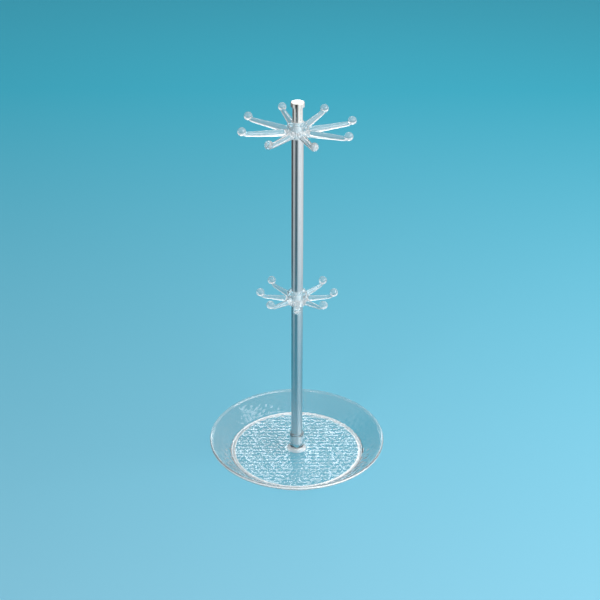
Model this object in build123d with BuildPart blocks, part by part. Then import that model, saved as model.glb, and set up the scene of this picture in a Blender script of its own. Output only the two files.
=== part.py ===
from build123d import *
import math
import os

# Jewellery stand: a round clear dish with a tall steel post that carries two tiers of
# clear hooks and a chromed finial.  Lengths are in millimetres.  The origin is on the
# table under the middle of the dish, +Z runs up the post and one arm of the middle tier
# points along -Y, to the front.

# ---------------------------------------------------------------- driving dimensions
# dish
dish_radius = 89.0
dish_height = 19.75          # table to the top of the lip
lip_diameter = 3.0
floor_radius = 67.0          # where the floor turns up into the flared wall
floor_thickness = 2.5
floor_crease_radius = 4.0
wall_thickness = 2.3
foot_ring_radius = 66.0
foot_ring_width = 2.6
foot_ring_height = 2.0
foot_ring_round = 0.5

# socket that is moulded into the middle of the dish
socket_diameter = 14.2
socket_height = 23.75        # table to the mouth of the socket
socket_seat_height = 9.5     # table to the end of the lower tube
socket_clearance = 0.1
boss_diameter = 19.6
boss_height = 6.0            # table to the top of the boss
boss_round = 2.6
screw_recess_diameter = 10.4
screw_web = 3.3              # plastic between the screw's washer and the tube

# post
tube_diameter = 11.1
tube_wall = 0.8
lower_tube_length = 165.1
upper_tube_length = 156.5
plug_length = 14.0
plug_clearance = 0.02
plug_chamfer = 0.6

# fasteners, all of one thread
thread_diameter = 4.0
thread_clearance = 0.05
thread_chamfer = 0.5
screw_head_diameter = 8.0
screw_head_height = 2.6
screw_head_round = 0.9
screw_slot_width = 1.0
screw_slot_depth = 1.2
screw_length = 16.0
screw_washer_diameter = 9.6
screw_washer_thickness = 0.8
stud_grip = 10.0             # length of stud inside each plug

# tiers
arm_count = 8
hub_diameter = 19.3
hub_height = 14.5
hub_round = 1.8
hub_ring_diameter = 14.0
hub_ring_height = 1.0
bush_diameter = 7.0
bush_wall = 1.35
bush_running_clearance = 0.07
tier_washer_diameter = 11.0
tier_washer_thickness = 0.6
tier_end_play = 0.1
arm_hook_run = 5.8           # ball's middle to where an arm turns up
ball_diameter = 8.0
arm_web_thickness = 5.0      # the rounded web that fills the corners between the arms' roots

middle_arm_reach = 35.5      # post's axis to the middle of a ball
middle_arm_root_diameter = 6.4
middle_arm_neck_diameter = 3.6
middle_arm_root_height = 5.1     # hub's lower face to the arm's centre line
middle_arm_lean = 2.1            # rise of the centre line along the straight stretch
middle_ball_height = 12.0        # hub's lower face to the middle of a ball
middle_web_diameter = 22.6
middle_tier_angle = 0.0

top_arm_reach = 51.9
top_arm_root_diameter = 7.3
top_arm_neck_diameter = 4.6
top_arm_root_height = 4.9
top_arm_lean = 2.6
top_ball_height = 10.5
top_web_diameter = 24.6
top_tier_angle = 16.3

# finial
finial_cap_diameter = 12.6
finial_cap_height = 4.3
finial_neck_diameter = 9.5
finial_neck_height = 14.0
finial_edge_round = 0.5
finial_hole_depth = 11.0

# ---------------------------------------------------------------- heights up the post
floor_bottom = foot_ring_height
floor_top = floor_bottom + floor_thickness
lower_tube_bottom = socket_seat_height
lower_tube_top = lower_tube_bottom + lower_tube_length
middle_hub_bottom = lower_tube_top + tier_washer_thickness
bush_length = hub_height + 2 * tier_washer_thickness + tier_end_play
upper_tube_bottom = lower_tube_top + bush_length
upper_tube_top = upper_tube_bottom + upper_tube_length
top_hub_bottom = upper_tube_top + tier_washer_thickness
finial_bottom = upper_tube_top + bush_length

tube_radius = tube_diameter / 2
plug_radius = tube_radius - tube_wall - plug_clearance
stud_radius = thread_diameter / 2
threaded_hole_radius = stud_radius + thread_clearance
hub_bore_radius = bush_diameter / 2 + bush_running_clearance

parts_folder = "parts"
os.makedirs(parts_folder, exist_ok=True)


def save(part, name):
    """Label a finished piece and write it to its own STEP file."""
    part.label = name
    export_step(part, f"{parts_folder}/{name}.step")


# ---------------------------------------------------------------- dish
# One revolved profile: foot ring, floor, flared wall with a rolled lip, and the socket.
lip_radius = lip_diameter / 2
lip_middle = (dish_radius - lip_radius, dish_height - lip_radius)
wall_rise = lip_middle[1] - floor_top
wall_run = lip_middle[0] - floor_radius
wall_tilt = math.asin(wall_thickness / 2 / math.hypot(wall_rise, wall_run))
wall_slope = math.atan2(wall_rise, wall_run) + wall_tilt
half_wall_r = wall_thickness / 2 * math.sin(wall_slope)
half_wall_z = wall_thickness / 2 * math.cos(wall_slope)
outer_foot_r = foot_ring_radius + foot_ring_width / 2
inner_foot_r = foot_ring_radius - foot_ring_width / 2
wall_start_drop = floor_thickness - 2 * half_wall_z
wall_start_r = floor_radius + 2 * half_wall_r - wall_start_drop / math.tan(wall_slope)
screw_recess_top = socket_seat_height - screw_web
socket_bore_radius = tube_radius + socket_clearance

with BuildPart() as dish:
    with BuildSketch(Plane.XZ) as dish_shell:
        with BuildLine():
            Polyline(
                (screw_recess_diameter / 2, floor_bottom),
                (inner_foot_r, floor_bottom),
                (inner_foot_r, 0),
                (outer_foot_r, 0),
                (max(outer_foot_r, wall_start_r), floor_bottom),
                (lip_middle[0] + half_wall_r, lip_middle[1] - half_wall_z),
                (lip_middle[0] - half_wall_r, lip_middle[1] + half_wall_z),
                (floor_radius, floor_top),
                (screw_recess_diameter / 2, floor_top),
                close=True,
            )
        make_face()
        crease = dish_shell.vertices().sort_by_distance((floor_radius, floor_top))[0]
        fillet(crease, radius=floor_crease_radius)
        fillet(dish_shell.vertices().group_by(Axis.Y)[0], radius=foot_ring_round)
        with Locations(lip_middle):
            Circle(lip_radius)
    with BuildSketch(Plane.XZ) as dish_boss:
        with BuildLine():
            Polyline(
                (stud_radius + thread_clearance, screw_recess_top),
                (screw_recess_diameter / 2, screw_recess_top),
                (screw_recess_diameter / 2, floor_bottom),
                (boss_diameter / 2, floor_bottom),
                (boss_diameter / 2, boss_height),
                (socket_diameter / 2, boss_height + boss_round),
                (socket_diameter / 2, socket_height),
                (socket_bore_radius, socket_height),
                (socket_bore_radius, socket_seat_height),
                (stud_radius + thread_clearance, socket_seat_height),
                close=True,
            )
        make_face()
        shoulder = dish_boss.vertices().sort_by_distance((boss_diameter / 2, boss_height))[0]
        fillet(shoulder, radius=boss_round)
    revolve(axis=Axis.Z)
save(dish.part, "dish")

# ---------------------------------------------------------------- screw under the dish
with BuildPart() as base_washer:
    with BuildSketch(Plane.XY.offset(screw_recess_top - screw_washer_thickness)):
        Circle(screw_washer_diameter / 2)
        Circle(threaded_hole_radius, mode=Mode.SUBTRACT)
    extrude(amount=screw_washer_thickness)
save(base_washer.part, "base_washer")

screw_head_top = screw_recess_top - screw_washer_thickness
with BuildPart() as base_screw:
    with BuildSketch(Plane.XY.offset(screw_head_top)):
        Circle(screw_head_diameter / 2)
    extrude(amount=-screw_head_height)
    head_rim = base_screw.edges().group_by(Axis.Z)[0]
    fillet(head_rim, radius=screw_head_round)
    with BuildSketch(Plane.XY.offset(screw_head_top)):
        Circle(stud_radius)
    extrude(amount=screw_length)
    shank_end = base_screw.edges().group_by(Axis.Z)[-1]
    chamfer(shank_end, length=thread_chamfer)
    with BuildSketch(Plane.XY.offset(screw_head_top - screw_head_height)):
        Rectangle(screw_head_diameter, screw_slot_width)
        Rectangle(screw_slot_width, screw_head_diameter)
    extrude(amount=screw_slot_depth, mode=Mode.SUBTRACT)
save(base_screw.part, "base_screw")


# ---------------------------------------------------------------- post
def tube(bottom, length):
    """A length of steel tube standing on the height given."""
    with BuildPart() as piece:
        with BuildSketch(Plane.XY.offset(bottom)):
            Circle(tube_radius)
            Circle(tube_radius - tube_wall, mode=Mode.SUBTRACT)
        extrude(amount=length)
    return piece.part


def end_plug(bottom):
    """A threaded plug that is pressed into the end of a tube, flush with its face."""
    with BuildPart() as piece:
        with BuildSketch(Plane.XY.offset(bottom)):
            Circle(plug_radius)
        extrude(amount=plug_length)
        chamfer(piece.edges().group_by(Axis.Z)[0] + piece.edges().group_by(Axis.Z)[-1], plug_chamfer)
        with BuildSketch(Plane.XY.offset(bottom)):
            Circle(threaded_hole_radius)
        extrude(amount=plug_length, mode=Mode.SUBTRACT)
    return piece.part


def stud(bottom, length):
    """A headless threaded rod with chamfered ends."""
    with BuildPart() as piece:
        with BuildSketch(Plane.XY.offset(bottom)):
            Circle(stud_radius)
        extrude(amount=length)
        chamfer(piece.edges(), thread_chamfer)
    return piece.part


save(tube(lower_tube_bottom, lower_tube_length), "lower_tube")
save(end_plug(lower_tube_bottom), "lower_tube_bottom_plug")
save(end_plug(lower_tube_top - plug_length), "lower_tube_top_plug")
save(tube(upper_tube_bottom, upper_tube_length), "upper_tube")
save(end_plug(upper_tube_bottom), "upper_tube_bottom_plug")
save(end_plug(upper_tube_top - plug_length), "upper_tube_top_plug")
save(stud(lower_tube_top - stud_grip, bush_length + 2 * stud_grip), "middle_tier_stud")
save(stud(upper_tube_top - stud_grip, bush_length + 2 * stud_grip), "top_tier_stud")


# ---------------------------------------------------------------- tiers
def bush(bottom):
    """The sleeve that a hub turns on, clamped between the ends of its neighbours."""
    with BuildPart() as piece:
        with BuildSketch(Plane.XY.offset(bottom)):
            Circle(bush_diameter / 2)
            Circle(bush_diameter / 2 - bush_wall, mode=Mode.SUBTRACT)
        extrude(amount=bush_length)
    return piece.part


def washer_pair(hub_bottom):
    """The thin washers under and over a hub."""
    with BuildPart() as piece:
        for bottom in (hub_bottom - tier_washer_thickness, hub_bottom + hub_height):
            with BuildSketch(Plane.XY.offset(bottom)):
                Circle(tier_washer_diameter / 2)
                Circle(hub_bore_radius, mode=Mode.SUBTRACT)
            extrude(amount=tier_washer_thickness)
    return piece.part


def hook_arm(reach, root_diameter, neck_diameter, root_height, lean, ball_height):
    """A tapered arm along +X whose end turns up to a ball; it starts inside the hub."""
    root = Vector((hub_diameter / 2 + hub_bore_radius) / 2, 0, root_height)
    bend = Vector(reach - arm_hook_run, 0, root_height + lean)
    ball = Vector(reach, 0, ball_height)
    along = (bend - root).normalized()
    with BuildPart() as piece:
        for middle, diameter in ((root, root_diameter), (bend, neck_diameter)):
            with BuildSketch(Plane(middle, x_dir=(0, 1, 0), z_dir=along)):
                Circle(diameter / 2)
        loft()
        with BuildLine() as hook:
            TangentArc(bend, ball, tangent=along)
        with BuildSketch(Plane(bend, x_dir=(0, 1, 0), z_dir=along)):
            Circle(neck_diameter / 2)
        sweep(path=hook.line)
        with Locations(ball):
            Sphere(ball_diameter / 2)
    return piece.part


def tier(hub_bottom, start_angle, arm, root_height, web_diameter):
    """A hub with its ring of arms, moulded as one piece."""
    web_middle_radius = (web_diameter - arm_web_thickness) / 2
    with BuildPart() as piece:
        with BuildSketch(Plane.XY.offset(hub_bottom)):
            Circle(hub_diameter / 2)
        extrude(amount=hub_height - hub_ring_height)
        fillet(piece.edges(), radius=hub_round)
        with BuildSketch(Plane.XY.offset(hub_bottom)):
            Circle(hub_ring_diameter / 2)
        extrude(amount=hub_height)
        with Locations((0, 0, hub_bottom + root_height)):
            Torus(web_middle_radius, arm_web_thickness / 2)
        for index in range(arm_count):
            turn = start_angle + index * 360 / arm_count
            with Locations(Location((0, 0, hub_bottom), (0, 0, turn))):
                add(arm)
        with BuildSketch(Plane.XY.offset(hub_bottom)):
            Circle(hub_bore_radius)
        extrude(amount=hub_height, mode=Mode.SUBTRACT)
    return piece.part


middle_arm = hook_arm(
    middle_arm_reach,
    middle_arm_root_diameter,
    middle_arm_neck_diameter,
    middle_arm_root_height,
    middle_arm_lean,
    middle_ball_height,
)
top_arm = hook_arm(
    top_arm_reach,
    top_arm_root_diameter,
    top_arm_neck_diameter,
    top_arm_root_height,
    top_arm_lean,
    top_ball_height,
)
middle_tier = tier(
    middle_hub_bottom,
    middle_tier_angle,
    middle_arm,
    middle_arm_root_height,
    middle_web_diameter,
)
top_tier = tier(
    top_hub_bottom,
    top_tier_angle,
    top_arm,
    top_arm_root_height,
    top_web_diameter,
)
save(middle_tier, "middle_tier")
save(bush(lower_tube_top), "middle_tier_bush")
save(washer_pair(middle_hub_bottom), "middle_tier_washers")
save(top_tier, "top_tier")
save(bush(upper_tube_top), "top_tier_bush")
save(washer_pair(top_hub_bottom), "top_tier_washers")

# ---------------------------------------------------------------- finial
with BuildPart() as finial:
    with BuildSketch(Plane.XY.offset(finial_bottom)):
        Circle(finial_neck_diameter / 2)
    extrude(amount=finial_neck_height)
    with BuildSketch(Plane.XY.offset(finial_bottom + finial_neck_height)):
        Circle(finial_cap_diameter / 2)
    extrude(amount=finial_cap_height)
    fillet(finial.edges().group_by(Axis.Z)[-1], radius=finial_edge_round)
    with BuildSketch(Plane.XY.offset(finial_bottom)):
        Circle(threaded_hole_radius)
    extrude(amount=finial_hole_depth, mode=Mode.SUBTRACT)
save(finial.part, "finial")
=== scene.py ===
import math

import bpy
import numpy as np
from mathutils import Matrix, Vector


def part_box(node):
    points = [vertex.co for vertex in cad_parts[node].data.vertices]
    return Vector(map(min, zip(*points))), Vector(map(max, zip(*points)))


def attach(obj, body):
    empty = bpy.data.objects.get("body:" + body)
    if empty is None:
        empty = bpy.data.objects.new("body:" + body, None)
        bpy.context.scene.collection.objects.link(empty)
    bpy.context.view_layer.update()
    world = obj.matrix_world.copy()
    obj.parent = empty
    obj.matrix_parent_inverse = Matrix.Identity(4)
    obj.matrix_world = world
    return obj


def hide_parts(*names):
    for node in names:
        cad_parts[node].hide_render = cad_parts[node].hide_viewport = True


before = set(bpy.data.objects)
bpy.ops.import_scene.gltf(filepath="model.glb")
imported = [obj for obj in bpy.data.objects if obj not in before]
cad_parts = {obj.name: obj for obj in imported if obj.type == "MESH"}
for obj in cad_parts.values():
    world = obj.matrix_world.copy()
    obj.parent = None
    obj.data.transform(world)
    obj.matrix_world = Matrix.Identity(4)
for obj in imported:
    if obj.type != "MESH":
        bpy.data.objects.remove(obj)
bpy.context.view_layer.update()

# Jewellery stand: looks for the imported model.  Lengths are in metres unless a name says mm.
MM = 0.001

# ---------------------------------------------------------------- sizes
# Camera, fitted to the stand's rim, post and hooks.
CAMERA_DISTANCE = 1.25494
CAMERA_DOWN = 0.5043             # radians below the horizon
CAMERA_TARGET_HEIGHT = 0.1788
CAMERA_SIDE = 0.0028
CAMERA_ROLL = 0.0038             # radians
CAMERA_REACH = 50
CAMERA_LENS_MM = 77.71
SENSOR_MM = 36.0

# Dish, as in the solids.
RIM_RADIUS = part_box("dish")[1][0]
LIP_RADIUS = 1.5 * MM
LIP_HEIGHT = 19.75 * MM
FLOOR_RADIUS = 67.0 * MM
FLOOR_TOP = 4.5 * MM
FLOOR_BOTTOM = 2.0 * MM
CREASE_RADIUS = 4.0 * MM
WALL_THICKNESS = 2.3 * MM
FOOT_RING_OUTER = 67.3 * MM
FOOT_RING_INNER = 64.7 * MM
FOOT_RING_ROUND = 0.9 * MM
SOCKET_RADIUS = 7.1 * MM
SOCKET_TOP = 23.75 * MM
SOCKET_EDGE_ROUND = 0.5 * MM
SOCKET_BORE_RADIUS = 5.65 * MM
SOCKET_BORE_CHAMFER = 0.2 * MM
SOCKET_SEAT = 9.5 * MM
SOCKET_FILLET = 1.0 * MM
SOCKET_FILLET_RISE = 3.0 * MM
BOSS_RADIUS = 9.8 * MM
BOSS_TOP = 6.0 * MM
BOSS_ROUND = 2.6 * MM
BOSS_ROUND_DROP = 0.6            # of BOSS_ROUND
RECESS_RADIUS = 5.2 * MM
RECESS_TOP = 6.2 * MM
SCREW_HOLE_RADIUS = 2.05 * MM

# Dish mesh, and which of its rows get which finish.
DISH_COLUMNS = 512
DISH_FINE_STEP = 0.62 * MM       # on the pebbled face
DISH_COARSE_STEP = 4.0 * MM
PEBBLED_FACE_BAND = 0.6 * MM     # how far from the face a point still counts as on it
RING_HIGHLIGHT_BAND = 1.3 * MM           # floor beside the ring that gets the ring's painted-highlight white too
MOUTH_BAND = 0.6 * MM            # top of the socket, finished like the lip
ROW_SLACK = 0.1 * MM

# Pebbles pressed into the dish.
PEBBLE_PITCH = 6.3 * MM
ROW_SHARE = 0.87                 # distance between rows, as a share of the pitch
PEBBLE_JITTER = 0.35             # of a cell
PEBBLE_SPREAD = 0.34             # of the pitch
PEBBLE_LEAST = 0.7
PEBBLE_VARIATION = 0.6
PEBBLE_MEAN = 0.45
PEBBLE_HEIGHT = 0.6 * MM
PEBBLE_BOSS_GAP = 1.0 * MM
PEBBLE_RISE = 3 * MM
PEBBLE_FADE_START = 75.0 * MM
PEBBLE_FADE_END = 83.5 * MM

# Tiers.
SOFTEN_VOXEL = 0.35 * MM
SOFTEN_FACTOR = 0.5
SOFTEN_ROUNDS = 6

# Clear plastic.
CLEAR_IOR = 1.49
CLEAR_COLOUR = (0.995, 1.0, 1.0)
CLEAR_SHADE = (0.985, 0.995, 1.0)
# Tint of lamp light passing the foot ring that is painted white as a highlight.
RING_PASS_TINT = (0.9, 0.94, 0.95)
NYLON_IOR = 1.5

# Table.
NEAR_TABLE = 0.37
FAR_TABLE = 7.0
TABLE_SIDES = 96
# Painted shade: the table's colour darkens from front to back, standing in for light falling off.
TABLE_SHADE_FADE = (-0.35, 1.1)        # from front to back, along Y
NEAR_BLUE = (0.26, 0.6, 0.76)
FAR_SHADED_BLUE = (0.06, 0.575, 0.77)
# Painted shade: gloss and metal see the table in a darker blue than it has.
MIRRORED_SHADED_BLUE = (0.03, 0.38, 0.53)   # what gloss and metal show of the table

# Studio.
STUDIO_FILL = 0.42
STUDIO_FILL_COLOUR = (0.93, 0.97, 1.0)
STUDIO_GLASS = 0.8
STUDIO_GLASS_COLOUR = (0.95, 0.98, 1.0)
# Cards round the stand, as seen from it: (degrees from the photograph's side, grey).
STUDIO_CARDS = (
    (-180, 0.15),
    (-150, 0.2),
    (-100, 0.02),
    (-76, 0.75),
    (-58, 0.7),
    (-33, 0.02),
    (-5, 0.02),
    (14, 0.95),
    (138, 0.95),
    (158, 0.5),
    (180, 0.15),
)
STUDIO_CEILING = (1.0, 1.0, 0.98)
# How much of the ceiling shows instead of the cards: (sine of the height, share).
STUDIO_HEIGHTS = ((0.45, 0.0), (0.8, 1.0))
# Soft lights: name, azimuth, elevation, distance, width, height, watts.
SOFT_BOXES = (
    ("right", 62, 35, 1.4, 1.8, 1.0, 20),
    ("back", 180, 31, 1.6, 0.55, 0.15, 1.25),
    ("left", -28, 45, 1.3, 0.3, 0.5, 1.8),
)
LIGHT_TARGET_HEIGHT = 0.17


# ---------------------------------------------------------------- node helpers
def material(name):
    """A node material with its Principled shader."""
    made = bpy.data.materials.new(name)
    made.use_nodes = True
    return made, made.node_tree, made.node_tree.nodes["Principled BSDF"]


def set_inputs(node, values):
    """Sets a node's inputs by name."""
    for name, value in values.items():
        node.inputs[name].default_value = value


def noise(tree, scale, detail=3.0, stretch=(1, 1, 1)):
    """Object-space noise, stretched along the axes given."""
    where = tree.nodes.new("ShaderNodeTexCoord")
    mapping = tree.nodes.new("ShaderNodeMapping")
    made = tree.nodes.new("ShaderNodeTexNoise")
    set_inputs(mapping, {"Scale": stretch})
    set_inputs(made, {"Scale": scale, "Detail": detail})
    tree.links.new(where.outputs["Object"], mapping.inputs["Vector"])
    tree.links.new(mapping.outputs["Vector"], made.inputs["Vector"])
    return made.outputs["Fac"]


def roughness(tree, shader, value, low, high):
    """The shader's roughness: value from 0..1 spread over low..high."""
    made = tree.nodes.new("ShaderNodeMapRange")
    set_inputs(made, {"To Min": low, "To Max": high})
    tree.links.new(value, made.inputs["Value"])
    tree.links.new(made.outputs["Result"], shader.inputs["Roughness"])


def bump(tree, shader, height, strength, distance):
    """Fine relief from a height, in metres at full strength."""
    made = tree.nodes.new("ShaderNodeBump")
    set_inputs(made, {"Strength": strength, "Distance": distance})
    tree.links.new(height, made.inputs["Height"])
    tree.links.new(made.outputs["Normal"], shader.inputs["Normal"])


def two_tone(tree, value, dark, light):
    """A colour between two tones, by value."""
    ramp = tree.nodes.new("ShaderNodeValToRGB")
    ramp.color_ramp.elements[0].color = (*dark, 1)
    ramp.color_ramp.elements[1].color = (*light, 1)
    tree.links.new(value, ramp.inputs["Fac"])
    return ramp.outputs["Color"]


def base_tones(tree, shader, value, dark, light):
    """The shader's colour, between two tones by value."""
    tree.links.new(two_tone(tree, value, dark, light), shader.inputs["Base Color"])


def mix_colours(tree, share, first, second):
    """A Mix node from the colour socket first to the plain colour second."""
    made = tree.nodes.new("ShaderNodeMix")
    made.data_type = "RGBA"
    made.inputs[7].default_value = (*second, 1)
    tree.links.new(share, made.inputs[0])
    tree.links.new(first, made.inputs[6])
    return made.outputs[2]


def switch_by_ray(tree, surface, others, output):
    """Shows surface, but to each kind of ray in others, (ray, shader), that shader instead."""
    path = tree.nodes.new("ShaderNodeLightPath")
    for ray, other in others:
        mix = tree.nodes.new("ShaderNodeMixShader")
        tree.links.new(path.outputs[ray], mix.inputs[0])
        tree.links.new(surface, mix.inputs[1])
        tree.links.new(other, mix.inputs[2])
        surface = mix.outputs["Shader"]
    tree.links.new(surface, tree.nodes[output].inputs["Surface"])


def let_lamps_through(tree, shader, tint):
    """Clear plastic passes lamp light, and light from the table, with a pale tint."""
    clear = tree.nodes.new("ShaderNodeBsdfTransparent")
    clear.inputs["Color"].default_value = (*tint, 1)
    passed = clear.outputs["BSDF"]
    rays = (("Is Diffuse Ray", passed), ("Is Shadow Ray", passed))
    switch_by_ray(tree, shader.outputs["BSDF"], rays, "Material Output")


def turned_metal(tree, shader, anisotropy):
    """Metal worked round the post's axis, so its highlights run up and down."""
    set_inputs(
        shader, {"Metallic": 1.0, "Anisotropic": anisotropy, "Anisotropic Rotation": 0.25}
    )
    tangent = tree.nodes.new("ShaderNodeTangent")
    tangent.direction_type = "RADIAL"
    tangent.axis = "Z"
    tree.links.new(tangent.outputs["Tangent"], shader.inputs["Tangent"])


# ---------------------------------------------------------------- materials
def clear_plastic(name, clarity, polish, ripple, edge_haze):
    """Glossy clear moulding: faint flow ripples, uneven polish, a haze that shows at its edges."""
    made, tree, shader = material(name)
    set_inputs(
        shader,
        {
            "Base Color": (*CLEAR_COLOUR, 1),
            "Transmission Weight": clarity,
            "IOR": CLEAR_IOR,
            "Sheen Weight": edge_haze,
            "Sheen Roughness": 0.3,
        },
    )
    roughness(tree, shader, noise(tree, 60), *polish)
    bump(tree, shader, noise(tree, 140, 2), ripple, 0.15 * MM)
    let_lamps_through(tree, shader, CLEAR_SHADE)
    return made


def ring_painted_highlight():
    """The dish's foot ring, coloured a satin white as a painted highlight for the bright ring of
    light it shows.
    """
    made, tree, shader = material("ring_painted_highlight")
    # Painted highlight: the clear ring is near-white all over, standing in for its bright edge of
    # light.
    base_tones(tree, shader, noise(tree, 500), (0.93, 0.95, 0.95), (0.99, 0.99, 0.99))
    set_inputs(shader, {"Transmission Weight": 0.05, "IOR": CLEAR_IOR})
    roughness(tree, shader, noise(tree, 1500), 0.35, 0.6)
    let_lamps_through(tree, shader, RING_PASS_TINT)
    return made


def brushed_tube():
    """Stainless tube with a fine turned finish round it, so highlights run along it."""
    made, tree, shader = material("stainless_tube")
    bands = noise(tree, 900, 2, (0.02, 0.02, 1))
    base_tones(tree, shader, bands, (0.58, 0.63, 0.66), (0.68, 0.72, 0.745))
    turned_metal(tree, shader, 0.9)
    lines = noise(tree, 2600, 2, (0.01, 0.01, 1))
    roughness(tree, shader, lines, 0.26, 0.33)
    bump(tree, shader, lines, 0.05, 0.02 * MM)
    return made


def chrome():
    """Turned and chromed finial: bright, with a fine haze that runs up and down."""
    made, tree, shader = material("chrome_finial")
    base_tones(tree, shader, noise(tree, 80), (0.84, 0.83, 0.81), (0.9, 0.89, 0.86))
    turned_metal(tree, shader, 0.85)
    roughness(tree, shader, noise(tree, 500, 4), 0.14, 0.2)
    return made


def zinc():
    """Zinc-plated steel of the fasteners and plugs."""
    made, tree, shader = material("zinc_plate")
    base_tones(tree, shader, noise(tree, 700, 4), (0.5, 0.49, 0.46), (0.68, 0.67, 0.64))
    set_inputs(shader, {"Metallic": 1.0})
    roughness(tree, shader, noise(tree, 900), 0.25, 0.42)
    return made


def nylon():
    """Natural nylon of the bushes and washers, milky and half clear."""
    made, tree, shader = material("natural_nylon")
    base_tones(tree, shader, noise(tree, 400), (0.82, 0.85, 0.86), (0.9, 0.92, 0.92))
    set_inputs(shader, {"Transmission Weight": 0.25, "IOR": NYLON_IOR})
    roughness(tree, shader, noise(tree, 500), 0.25, 0.4)
    return made


# ---------------------------------------------------------------- mesh helpers
def new_object(name, data):
    """An object of the scene around its data."""
    made = bpy.data.objects.new(name, data)
    bpy.context.collection.objects.link(made)
    return made


def mesh_object(name, vertices, faces, *finishes):
    """An object from vertices and faces, shaded smooth, with its materials."""
    mesh = bpy.data.meshes.new(name)
    mesh.from_pydata([tuple(v) for v in vertices], [], [tuple(f) for f in faces])
    mesh.validate()
    for finish in finishes:
        mesh.materials.append(finish)
    mesh.shade_smooth()
    return new_object(name, mesh)


def arc(middle, radius, start, end, count):
    """Points of an arc in the (r, z) plane, angles in degrees."""
    angles = np.radians(np.linspace(start, end, count))
    return [(middle[0] + radius * math.cos(a), middle[1] + radius * math.sin(a)) for a in angles]


# ---------------------------------------------------------------- dish
LIP = (RIM_RADIUS - LIP_RADIUS, LIP_HEIGHT - LIP_RADIUS)
WALL_RUN = (LIP[0] - FLOOR_RADIUS, LIP[1] - FLOOR_TOP)
WALL_SLOPE = math.atan2(WALL_RUN[1], WALL_RUN[0])
WALL_SLOPE += math.asin(WALL_THICKNESS / 2 / math.hypot(*WALL_RUN))


def on_pebbled_face(r, z):
    """Whether points of the dish's section lie on the upper face of its floor and wall."""
    face = FLOOR_TOP + np.clip(np.subtract(r, FLOOR_RADIUS), 0, None) * math.tan(WALL_SLOPE)
    return (np.abs(z - face) < PEBBLED_FACE_BAND) & (np.asarray(r) >= BOSS_RADIUS)


def densify(points):
    """The closed outline with its long sides divided, finely where the pebbles are."""
    dense = []
    for here, there in zip(points, points[1:] + points[:1]):
        fine = on_pebbled_face(*here) and on_pebbled_face(*there)
        step = DISH_FINE_STEP if fine else DISH_COARSE_STEP
        pieces = max(1, round(math.dist(here, there) / step))
        for k in range(pieces):
            dense.append(tuple(a + k / pieces * (b - a) for a, b in zip(here, there)))
    return dense


def hashed(i, j, salt):
    """A steady pseudo-random number from 0 to 1 for each cell."""
    value = np.sin(i * 127.1 + j * 311.7 + salt * 74.7) * 43758.5453
    return value - np.floor(value)


def pebbles(x, y):
    """Height from 0 to about 1 of soft bumps, one in each cell of a jittered honeycomb."""
    u, v = x / PEBBLE_PITCH, y / (PEBBLE_PITCH * ROW_SHARE)
    cell_v = np.floor(v)
    height = np.zeros(np.shape(u))
    for dv in (-2, -1, 0, 1, 2):
        j = cell_v + dv
        shift = 0.5 * np.mod(j, 2)
        cell_u = np.floor(u - shift)
        for du in (-1, 0, 1):
            i = cell_u + du
            seed_u = i + shift + 0.5 + PEBBLE_JITTER * (hashed(i, j, 1) - 0.5)
            seed_v = j + 0.5 + PEBBLE_JITTER * (hashed(i, j, 2) - 0.5)
            away = (u - seed_u) ** 2 + ((v - seed_v) * ROW_SHARE) ** 2
            size = PEBBLE_LEAST + PEBBLE_VARIATION * hashed(i, j, 3)
            height += size * np.exp(-away / PEBBLE_SPREAD**2)
    return height


def dish_outline():
    """The dish's closed section in (r, z), from the screw hole round to it again."""
    steep = math.degrees(WALL_SLOPE)
    half_r = WALL_THICKNESS / 2 * math.sin(WALL_SLOPE)
    half_z = WALL_THICKNESS / 2 * math.cos(WALL_SLOPE)
    tangent = CREASE_RADIUS * math.tan(WALL_SLOPE / 2)
    meet = math.degrees(math.asin(WALL_THICKNESS / 2 / LIP_RADIUS))
    below = FLOOR_TOP - FLOOR_BOTTOM - 2 * half_z
    wall_foot = FLOOR_RADIUS + 2 * half_r - below / math.tan(WALL_SLOPE)
    ring_in = (FOOT_RING_INNER + FOOT_RING_ROUND, FOOT_RING_ROUND)
    ring_out = (FOOT_RING_OUTER - FOOT_RING_ROUND, FOOT_RING_ROUND)
    crease = (FLOOR_RADIUS - tangent, FLOOR_TOP + CREASE_RADIUS)
    boss_edge = (BOSS_RADIUS - BOSS_ROUND, BOSS_TOP - BOSS_ROUND_DROP * BOSS_ROUND)
    fillet = (SOCKET_RADIUS + SOCKET_FILLET, BOSS_TOP + SOCKET_FILLET_RISE)
    socket_edge = (SOCKET_RADIUS - SOCKET_EDGE_ROUND, SOCKET_TOP - SOCKET_EDGE_ROUND)
    return [
        (SCREW_HOLE_RADIUS, RECESS_TOP),
        (RECESS_RADIUS, RECESS_TOP),
        (RECESS_RADIUS, FLOOR_BOTTOM),
        (FOOT_RING_INNER - RING_HIGHLIGHT_BAND, FLOOR_BOTTOM),
        (FOOT_RING_INNER, FLOOR_BOTTOM),
        *arc(ring_in, FOOT_RING_ROUND, 180, 270, 6),
        *arc(ring_out, FOOT_RING_ROUND, 270, 355, 6),
        (wall_foot, FLOOR_BOTTOM),
        *arc(LIP, LIP_RADIUS, steep - 180 + meet, steep + 180 - meet, 20),
        *arc(crease, CREASE_RADIUS, steep - 90, -90, 7),
        (BOSS_RADIUS, FLOOR_TOP),
        *arc(boss_edge, BOSS_ROUND, -10, 70, 8),
        *arc(fillet, SOCKET_FILLET, 250, 180, 5),
        *arc(socket_edge, SOCKET_EDGE_ROUND, 0, 90, 4),
        (SOCKET_BORE_RADIUS + SOCKET_BORE_CHAMFER, SOCKET_TOP),
        (SOCKET_BORE_RADIUS, SOCKET_TOP - SOCKET_BORE_CHAMFER),
        (SOCKET_BORE_RADIUS, SOCKET_SEAT),
        (SCREW_HOLE_RADIUS, SOCKET_SEAT),
    ]


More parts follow.
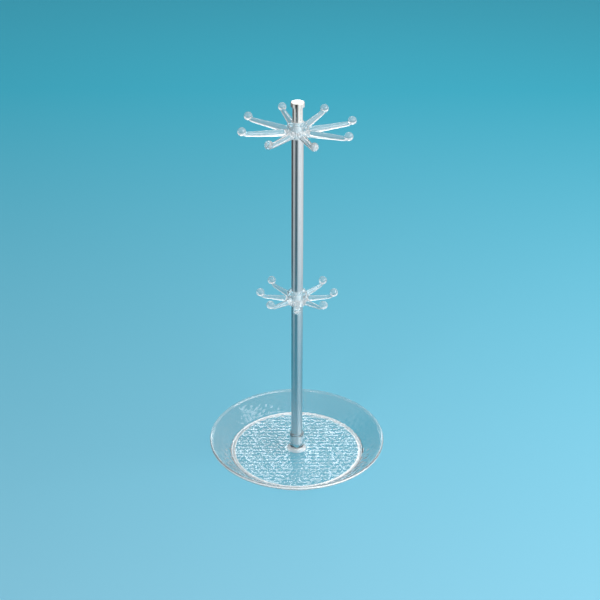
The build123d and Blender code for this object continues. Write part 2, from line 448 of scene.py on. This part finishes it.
def dish_finishes(r, z):
    """Each section row's material: 0 plain, 1 ring painted white as a highlight, 2 lip and socket's
    mouth, 3 boss.
    """
    # Rows of the foot ring and the floor beside it, which get the painted-highlight white.
    ring = z < FLOOR_BOTTOM + ROW_SLACK
    ring &= r > FOOT_RING_INNER - RING_HIGHLIGHT_BAND - ROW_SLACK
    lip = (r > LIP[0] - LIP_RADIUS) | (z > SOCKET_TOP - MOUTH_BAND)
    boss = (r < BOSS_RADIUS + ROW_SLACK) & (r > SOCKET_RADIUS + ROW_SLACK)
    boss &= z > FLOOR_TOP - ROW_SLACK
    finish = np.zeros(len(r), dtype=np.int32)
    for index, part in enumerate((ring, lip, boss), start=1):
        finish[part & np.roll(part, -1)] = index
    return finish


def make_dish(plastic, ring_white, lip, boss):
    """The moulded dish, turned from its section, with pebbles on the floor's upper face."""
    section = np.array(densify(dish_outline()))
    turn = np.linspace(0, 2 * math.pi, DISH_COLUMNS, endpoint=False)
    r, z = section[:, 0][:, None], section[:, 1][:, None]
    x, y = r * np.cos(turn)[None, :], r * np.sin(turn)[None, :]
    start = np.clip((r - BOSS_RADIUS - PEBBLE_BOSS_GAP) / PEBBLE_RISE, 0, 1)
    end = np.clip((PEBBLE_FADE_END - r) / (PEBBLE_FADE_END - PEBBLE_FADE_START), 0, 1)
    amount = np.where(on_pebbled_face(r, z), start * end, 0)
    raised = z + (pebbles(x, y) - PEBBLE_MEAN) * PEBBLE_HEIGHT * amount
    vertices = np.stack([x, y, raised], axis=2).reshape(-1, 3)
    rows = len(section)
    faces = []
    for i in range(rows):
        a, b = i * DISH_COLUMNS, (i + 1) % rows * DISH_COLUMNS
        for j in range(DISH_COLUMNS):
            k = (j + 1) % DISH_COLUMNS
            faces.append((a + j, a + k, b + k, b + j))
    made = mesh_object("dish_moulding", vertices, faces, plastic, ring_white, lip, boss)
    finish = np.repeat(dish_finishes(*section.T), DISH_COLUMNS)
    made.data.polygons.foreach_set("material_index", finish)
    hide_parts("dish")
    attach(made, "stand")


# ---------------------------------------------------------------- tiers
def soften(node, name, body, plastic):
    """A moulded copy of a tier, whose arms, balls and hub run into each other."""
    made = new_object(name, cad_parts[node].data.copy())
    grid = made.modifiers.new("grid", "REMESH")
    grid.mode = "VOXEL"
    grid.voxel_size = SOFTEN_VOXEL
    grid.adaptivity = 0
    smooth = made.modifiers.new("smooth", "SMOOTH")
    smooth.factor = SOFTEN_FACTOR
    smooth.iterations = SOFTEN_ROUNDS
    bpy.context.view_layer.update()
    depsgraph = bpy.context.evaluated_depsgraph_get()
    finished = bpy.data.meshes.new_from_object(made.evaluated_get(depsgraph))
    made.modifiers.clear()
    made.data = finished
    finished.materials.clear()
    finished.materials.append(plastic)
    finished.shade_smooth()
    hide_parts(node)
    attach(made, body)


def finish_nodes(finish, *names):
    """Gives CAD nodes their finish."""
    for name in names:
        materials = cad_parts[name].data.materials
        materials.clear()
        materials.append(finish)


# ---------------------------------------------------------------- stage
def make_floor():
    """A plain pale table top, its colour darker towards the back as painted shade where the light
    falls off, and a darker painted-shade blue to gloss and metal.  Metal mirrors only its near
    part.
    """
    made, tree, shader = material("table_top")
    where = tree.nodes.new("ShaderNodeTexCoord")
    split = tree.nodes.new("ShaderNodeSeparateXYZ")
    spread = tree.nodes.new("ShaderNodeMapRange")
    set_inputs(spread, {"From Min": TABLE_SHADE_FADE[0], "From Max": TABLE_SHADE_FADE[1]})
    tree.links.new(where.outputs["Object"], split.inputs["Vector"])
    tree.links.new(split.outputs["Y"], spread.inputs["Value"])
    # Painted shade: near blue to the darker far blue along Y.
    blues = two_tone(tree, spread.outputs["Result"], NEAR_BLUE, FAR_SHADED_BLUE)
    path = tree.nodes.new("ShaderNodeLightPath")
    # Painted shade: glossy rays get the darker mirrored blue instead of the table's own colour.
    seen = mix_colours(tree, path.outputs["Is Glossy Ray"], blues, MIRRORED_SHADED_BLUE)
    tree.links.new(seen, shader.inputs["Base Color"])
    set_inputs(shader, {"Roughness": 0.7, "Specular IOR Level": 0.2})
    sides = range(TABLE_SIDES)
    turn = [2 * math.pi * k / TABLE_SIDES for k in sides]
    near = [(NEAR_TABLE * math.cos(a), NEAR_TABLE * math.sin(a), 0) for a in turn]
    far = [(FAR_TABLE * math.cos(a), FAR_TABLE * math.sin(a), 0) for a in turn]
    following = [(k + 1) % TABLE_SIDES for k in sides]
    ring = [(k, n, TABLE_SIDES + n, TABLE_SIDES + k) for k, n in zip(sides, following)]
    mesh_object("table_near", near, [tuple(sides)], made)
    around = mesh_object("table_far", near + far, ring, made)
    around.visible_glossy = False


def soft_box(name, azimuth, elevation, distance, width, height, power):
    """A rectangular soft light facing the stand; azimuth 0 is the photograph's side, in degrees."""
    light = bpy.data.lights.new(name, "AREA")
    light.shape = "RECTANGLE"
    light.size = width
    light.size_y = height
    light.energy = power
    made = new_object(name, light)
    turn, rise = math.radians(azimuth), math.radians(elevation)
    level = math.cos(rise)
    away = Vector((math.sin(turn) * level, -math.cos(turn) * level, math.sin(rise)))
    made.location = Vector((0, 0, LIGHT_TARGET_HEIGHT)) + distance * away
    made.rotation_euler = away.to_track_quat("Z", "Y").to_euler()


def grey_ramp(tree, value, stops):
    """A soft ramp of greys; stops are (place, grey)."""
    made = tree.nodes.new("ShaderNodeValToRGB")
    made.color_ramp.interpolation = "EASE"
    band = made.color_ramp.elements
    while len(band) < len(stops):
        band.new(0.5)
    for stop, (place, grey) in zip(band, stops):
        stop.position = place
        stop.color = (grey, grey, grey, 1)
    tree.links.new(value, made.inputs["Fac"])
    return made.outputs["Color"]


def maths(tree, operation, *values):
    """A Math node on values, each a socket or a number."""
    made = tree.nodes.new("ShaderNodeMath")
    made.operation = operation
    for slot, value in zip(made.inputs, values):
        if isinstance(value, (int, float)):
            slot.default_value = value
        else:
            tree.links.new(value, slot)
    return made.outputs[0]


def make_world():
    """The studio: an even dim surround for light, with pale cards that gloss shows."""
    world = bpy.data.worlds.new("studio")
    bpy.context.scene.world = world
    world.use_nodes = True
    tree = world.node_tree
    where = tree.nodes.new("ShaderNodeTexCoord")
    split = tree.nodes.new("ShaderNodeSeparateXYZ")
    tree.links.new(where.outputs["Generated"], split.inputs["Vector"])
    towards = maths(tree, "MULTIPLY", split.outputs["Y"], -1.0)
    turn = maths(tree, "ARCTAN2", split.outputs["X"], towards)
    share = maths(tree, "MULTIPLY_ADD", turn, 0.5 / math.pi, 0.5)
    stops = [((azimuth + 180) / 360, grey) for azimuth, grey in STUDIO_CARDS]
    cards = grey_ramp(tree, share, stops)
    height = grey_ramp(tree, split.outputs["Z"], STUDIO_HEIGHTS)
    fill = tree.nodes["Background"]
    set_inputs(fill, {"Color": (*STUDIO_FILL_COLOUR, 1), "Strength": STUDIO_FILL})
    through = tree.nodes.new("ShaderNodeBackground")
    set_inputs(through, {"Color": (*STUDIO_GLASS_COLOUR, 1), "Strength": STUDIO_GLASS})
    mirrored = tree.nodes.new("ShaderNodeBackground")
    both = mix_colours(tree, height, cards, STUDIO_CEILING)
    tree.links.new(both, mirrored.inputs["Color"])
    rays = (
        ("Is Glossy Ray", mirrored.outputs[0]),
        ("Is Transmission Ray", through.outputs[0]),
        ("Is Camera Ray", through.outputs[0]),
    )
    switch_by_ray(tree, fill.outputs[0], rays, "World Output")


def make_camera():
    """The camera at the fitted viewpoint."""
    lens = bpy.data.cameras.new("camera")
    lens.lens = CAMERA_LENS_MM
    lens.sensor_width = SENSOR_MM
    lens.clip_end = CAMERA_REACH
    made = new_object("camera", lens)
    back = -CAMERA_DISTANCE * math.cos(CAMERA_DOWN)
    up = CAMERA_TARGET_HEIGHT + CAMERA_DISTANCE * math.sin(CAMERA_DOWN)
    place = Matrix.Translation((CAMERA_SIDE, back, up))
    tilt = Matrix.Rotation(math.pi / 2 - CAMERA_DOWN, 4, "X")
    roll = Matrix.Rotation(CAMERA_ROLL, 4, "Z")
    made.matrix_world = place @ tilt @ roll
    bpy.context.scene.camera = made


# ---------------------------------------------------------------- assembly
make_dish(
    clear_plastic("clear_dish", clarity=0.94, polish=(0.0, 0.03), ripple=0.05, edge_haze=0.0),
    ring_painted_highlight(),
    clear_plastic("clear_lip", clarity=0.88, polish=(0.0, 0.05), ripple=0.05, edge_haze=0.3),
    clear_plastic("clear_boss", clarity=0.6, polish=(0.02, 0.12), ripple=0.1, edge_haze=0.3),
)
tier = clear_plastic("clear_tier", clarity=0.87, polish=(0.0, 0.04), ripple=0.08, edge_haze=0.6)
soften("middle_tier", "middle_hooks_moulding", "middle_hooks", tier)
soften("top_tier", "top_hooks_moulding", "top_hooks", tier)
finish_nodes(brushed_tube(), "lower_tube", "upper_tube")
finish_nodes(chrome(), "finial")
finish_nodes(
    zinc(),
    "base_screw",
    "base_washer",
    "lower_tube_bottom_plug",
    "lower_tube_top_plug",
    "upper_tube_bottom_plug",
    "upper_tube_top_plug",
    "middle_tier_stud",
    "top_tier_stud",
)
finish_nodes(
    nylon(), "middle_tier_bush", "top_tier_bush", "middle_tier_washers", "top_tier_washers"
)

make_floor()
make_world()
make_camera()
for box in SOFT_BOXES:
    soft_box(*box)

bpy.context.scene.view_settings.view_transform = "Standard"
